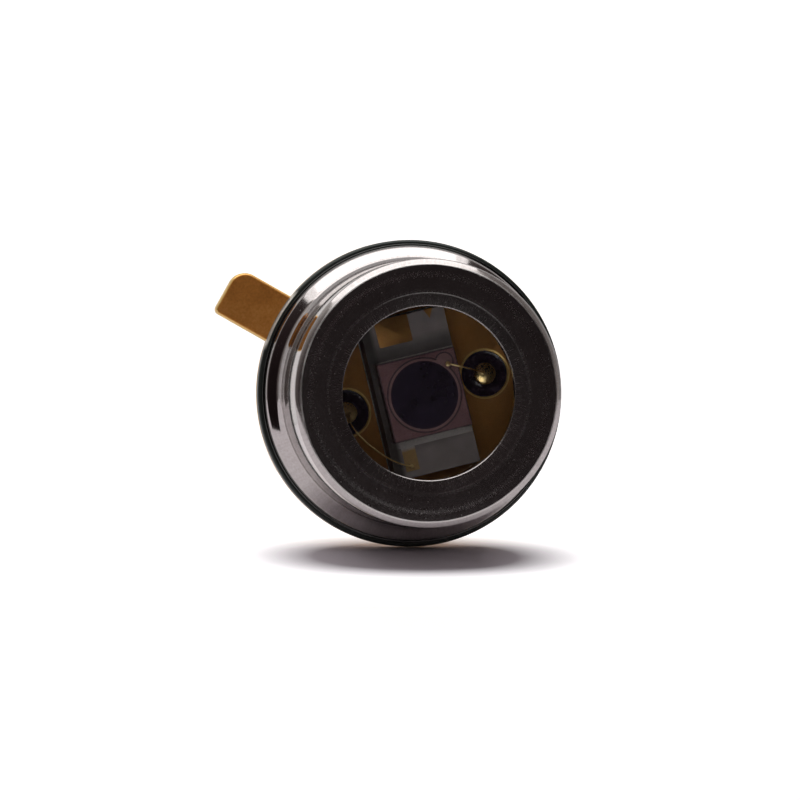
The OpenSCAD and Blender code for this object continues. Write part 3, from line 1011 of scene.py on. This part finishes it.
def padFilm(look, centre, strip):
    # silvery under the chip, golden on the bonding strip
    material, tree, shader, place = startMaterial("padFilm", {"Metallic": 0.4})
    onCarrier = placeInMm(tree, centre, carrierTurn)
    grain = noise(tree, place, 45, 5, 0.6)
    cloud = noise(tree, place, 6, 3)
    ragged = sums(tree, "MULTIPLY_ADD", cloud, 0.05, partOf(tree, place, "Y"))
    golden = spread(tree, ragged, 0, 1, strip - 0.02, strip + 0.04)
    body = tint(tree, golden, tones(tree, grain, look["silver"]), tones(tree, grain, look["gold"]))
    body = shadeBesideChip(tree, body, onCarrier, marginShadeLook)
    dressShader(tree, shader, look, body, grain, grain)
    return material


def filmMaterial(name, look):
    material, tree, shader, place = startMaterial(name, {"Metallic": look["metal"]})
    grain = noise(tree, place, 45, 5, 0.6)
    mixed = blend(tree, noise(tree, place, 5, 3), grain, 0.6)
    dressShader(tree, shader, look, tones(tree, mixed, look), mixed, grain)
    return material


def makePlate(node, name, material):
    low, high = boxMm(node)
    wide, long = plateSize(node)
    thick = high.z - low.z
    deselectAll()
    bpy.ops.mesh.primitive_cube_add(size=1)
    bpy.context.object.scale = (wide, long, thick)
    piece = startPiece(name)
    pickEdges(piece, lambda e: abs(e.verts[0].co.z - e.verts[1].co.z) > tiny)
    bevelPicked(plateCut[node]["corner"], 4)
    pickEdges(piece, lambda e: atHeight(e, thick / 2))
    bevelPicked(plateCut[node]["edge"], 2)
    settlePiece(piece, carrierTurn, middle(node))
    finishPiece(piece, node, material)


goldFilm = filmMaterial("goldFilm", goldLook)
carrierMiddle = middle("carrier")
shadedChipEdge = middle("chip").y - plateSize("chip")[1] / 2 - carrierMiddle.y
carrierFinish = carrierCeramic(carrierLook, carrierMiddle, shadedChipEdge)
stripFinish = padFilm(padLook, carrierMiddle, boxMm("chip")[1].y + padLook["stripGap"])
makePlate("carrier", "carrier_fired", carrierFinish)
makePlate("carrier_solder", "carrier_solder_run", solderFinish)
makePlate("spare_pad", "spare_pad_printed", goldFilm)
makePlate("chip_solder", "chip_solder_run", solderFinish)
for filmNode, filmFinish in (("chip_pad", stripFinish), ("index_mark", goldFilm)):
    frame["nodes"][filmNode].data.materials.clear()
    frame["nodes"][filmNode].data.materials.append(filmFinish)
print("carrier made")


# Chip with its active area and ring contact

chipGrown = {
    "sides": 160, "activeSoft": 0.004, "ringGap": 0.008, "ringWide": 0.035,
    "lobeSides": 64, "lobeWide": 0.14, "lobeOut": 0.05, "lobeAngle": radians(226),
}

chipLook = {
    "dark": (0.115, 0.056, 0.062), "light": (0.175, 0.088, 0.094),
    "line": (0.016, 0.008, 0.010), "lineWide": 0.02, "lineShare": 0.85,
    "rough": (0.22, 0.36), "relief": 0.0008,
}

activeLook = {
    "dark": (0.010, 0.007, 0.013), "light": (0.020, 0.014, 0.026),
    "edge": (0.040, 0.024, 0.036), "edgeWide": 0.03,
    "rough": (0.14, 0.24), "relief": 0.0004,
}

contactLook = {
    "dark": (0.16, 0.086, 0.09), "light": (0.24, 0.14, 0.142), "metal": 0.4,
    "rough": (0.34, 0.52), "relief": 0.0018,
}


def chipFace(look, centre, half, ringOut, lobeAt, lobeWide):
    shine = {"Specular IOR Level": 0.6, "Coat Weight": 0.25}
    material, tree, shader, place = startMaterial("chipFace", shine, centre, carrierTurn)
    flat, radius = fromAxis(tree, place)
    # dark lines round the ring contact and its lobe, and along the chip's sides
    roundRing = thinLine(tree, radius, ringOut + 0.012, look["lineWide"])
    lobe = vectors(tree, "DISTANCE", flat, (*lobeAt, 0))
    outside = spread(tree, radius, 0, 1, ringOut - 0.01, ringOut)
    roundLobe = part(tree, thinLine(tree, lobe, lobeWide + 0.01, look["lineWide"]), outside)
    square = most(tree, *(sums(tree, "ABSOLUTE", partOf(tree, place, axis)) for axis in "XY"))
    sides = spread(tree, square, 0, 1, half - 0.025, half - 0.015)
    lines = most(tree, roundRing, roundLobe, sides)
    grain = noise(tree, place, 70, 4)
    mixed = blend(tree, noise(tree, place, 2.5, 3), grain, 0.7)
    body = tint(tree, part(tree, lines, look["lineShare"]), tones(tree, mixed, look), look["line"])
    dressShader(tree, shader, look, body, grain, sums(tree, "SUBTRACT", grain, lines))
    return material


def activeFilm(look, centre, rim):
    shine = {"Specular IOR Level": 0.4, "Coat Weight": 0.15}
    material, tree, shader, place = startMaterial("activeFilm", shine, centre, carrierTurn)
    radius = fromAxis(tree, place)[1]
    grain = noise(tree, place, 50, 4)
    edge = spread(tree, radius, 0, 1, rim - look["edgeWide"], rim)
    body = tint(tree, edge, tones(tree, noise(tree, place, 3, 3), look), look["edge"])
    dressShader(tree, shader, look, body, grain, grain)
    return material


def makeChip(size):
    centre = middle("chip")
    spot = (centre.x, centre.y, 0)
    low, high = boxMm("active_area")
    active = roundOf("active_area")
    ringIn = active + size["ringGap"]
    ringOut = ringIn + size["ringWide"]
    lobe = Vector((cos(size["lobeAngle"]), sin(size["lobeAngle"]))) * (ringOut + size["lobeOut"])
    lobeWide = size["lobeWide"]
    face = chipFace(chipLook, centre, plateSize("chip")[0] / 2, ringOut, lobe, lobeWide)
    makePlate("chip", "chip_diced", face)
    disc = turnRings("active_area_grown", ((active, low.z), (active, high.z)), size["sides"])
    roundRings(disc, ((active, high.z, size["activeSoft"], 2),))
    shiftAll(spot)
    finishPiece(disc, "active_area", activeFilm(activeLook, centre, active))
    ring = turnRings("contact_ring_plated", ((ringOut, low.z), (ringOut, high.z)), size["sides"])
    pad = turnRings("lobe", ((lobeWide, low.z), (lobeWide, high.z)), size["lobeSides"])
    shiftAll((lobe.x, lobe.y, 0))
    combine(ring, pad, "UNION")
    drill(ring, Vector((0, 0)), ringIn, low.z - drillPast, high.z + drillPast, size["sides"])
    settlePiece(ring, carrierTurn, spot)
    finishPiece(ring, "contact_ring", filmMaterial("contactFilm", contactLook))
    return lobe


lobePlace = makeChip(chipGrown)
print("chip made")


# Bond wires: a ball, a loop and a flattened foot

wireDrawn = {
    "thick": 0.015, "facets": 4, "steps": 48, "endSides": 32,
    # shares of the ball's radius and height, then of the wire's thickness where the ball runs into it
    "ball": 0.045, "ballTall": 0.035, "ballSoft": 0.006, "neckTall": 0.03, "neckShape": (1.5, 1.1),
    "ballShape": ((0.8, 0), (1, 0.25), (1, 0.6), (0.75, 0.92)),
    "foot": 0.04, "footTall": 0.02, "footStretch": 1.5, "footShape": ((1, 0), (1, 0.6), (0.6, 1)),
    "anodeRise": 0.16, "cathodeRise": 0.2, "cathodeBow": 0.29, "loopShare": 0.75,
    "ballShift": (-0.05, 0.06), "landing": 0.055, "stripX": 0.43, "stripEndGap": 0.12,
}

bondLook = {"dark": (0.80, 0.56, 0.24), "light": (0.95, 0.74, 0.40), "rough": (0.28, 0.4), "relief": 0.0006}


def bondGold(look):
    material, tree, shader, place = startMaterial("bondGold", {"Metallic": 1})
    grain = noise(tree, place, 90, 4)
    dressShader(tree, shader, look, tones(tree, grain, look), grain, grain)
    return material


def turned(x, y):
    return Vector((x * cos(carrierTurn) - y * sin(carrierTurn), x * sin(carrierTurn) + y * cos(carrierTurn)))


def makeBall(size, start):
    tall, thick = size["ballTall"], size["thick"]
    rings = [(size["ball"] * across, tall * up) for across, up in size["ballShape"]]
    widest = rings[2]
    rings.append((thick * size["neckShape"][0], tall))
    rings.append((thick * size["neckShape"][1], tall + size["neckTall"]))
    ball = turnRings("ball", rings, size["endSides"])
    roundRings(ball, ((*widest, size["ballSoft"], 2),))
    shiftAll((start.x, start.y, start.z - tall))
    return ball


def makeFoot(size, start, end):
    rings = [(size["foot"] * across, size["footTall"] * up) for across, up in size["footShape"]]
    foot = turnRings("foot", rings, size["endSides"])
    makeActive(foot)
    foot.scale = (1, 1 / size["footStretch"], 1)
    applyPlace()
    heading = end.xy - start.xy
    settlePiece(foot, atan2(heading.y, heading.x), (end.x, end.y, end.z - size["thick"]))
    return foot


def makeWire(node, size, points, material):
    start, rise, fall, end = points
    deselectAll()
    bpy.ops.curve.primitive_bezier_curve_add()
    curve = bpy.context.object
    knots = curve.data.splines[0].bezier_points
    for knot, spot, before, after in ((knots[0], start, start, rise), (knots[1], end, fall, end)):
        knot.handle_left_type = knot.handle_right_type = "FREE"
        knot.co = spot
        knot.handle_left = before
        knot.handle_right = after
    curve.data.bevel_depth = size["thick"]
    curve.data.bevel_resolution = size["facets"]
    curve.data.resolution_u = size["steps"]
    curve.data.use_fill_caps = True
    bpy.ops.object.convert(target="MESH")
    wire = bpy.context.object
    parts = (wire, makeBall(size, start), makeFoot(size, start, end))
    deselectAll()
    for each in parts:
        each.select_set(True)
    bpy.context.view_layer.objects.active = wire
    bpy.ops.object.join()
    wire.name = wire.data.name = node + "_bonded"
    finishPiece(wire, node, material, sharpAngle=50)


def makeWires(size):
    finish = bondGold(bondLook)
    share = size["loopShare"]
    # from the chip's lobe to the anode lead
    shift = Vector(size["ballShift"])
    lobe = middle("chip").xy + turned(*(lobePlace + shift))
    pin = middle("lead_anode").xy
    landing = pin - (pin - lobe).normalized() * size["landing"]
    start = Vector((*lobe, boxMm("contact_ring")[1].z + size["ballTall"]))
    end = Vector((*landing, boxMm("lead_anode")[1].z + size["thick"]))
    reach = Vector((*(landing - lobe), 0))
    rise = canAxis * size["anodeRise"]
    makeWire("wire_anode", size, (start, start + rise, start + reach * share + rise, end), finish)
    # from the cathode lead to the strip on the carrier
    stripEnd = plateSize("carrier")[1] / 2 - size["stripEndGap"]
    strip = carrierMiddle.xy + turned(size["stripX"], stripEnd - 2 * size["foot"])
    pin = middle("lead_cathode").xy
    landing = pin + (strip - pin).normalized() * size["landing"]
    padTop = boxMm("chip_pad")[1].z
    start = Vector((*landing, boxMm("lead_cathode")[1].z + size["ballTall"]))
    end = Vector((*strip, padTop + size["thick"]))
    reach = Vector((*(strip - landing), 0))
    bow = reach.cross(canAxis).normalized() * size["cathodeBow"]
    over = bow + canAxis * (padTop + size["cathodeRise"] - start.z)
    makeWire("wire_cathode", size, (start, start + over, start + reach * share + over, end), finish)


makeWires(wireDrawn)
print("bond wires made")
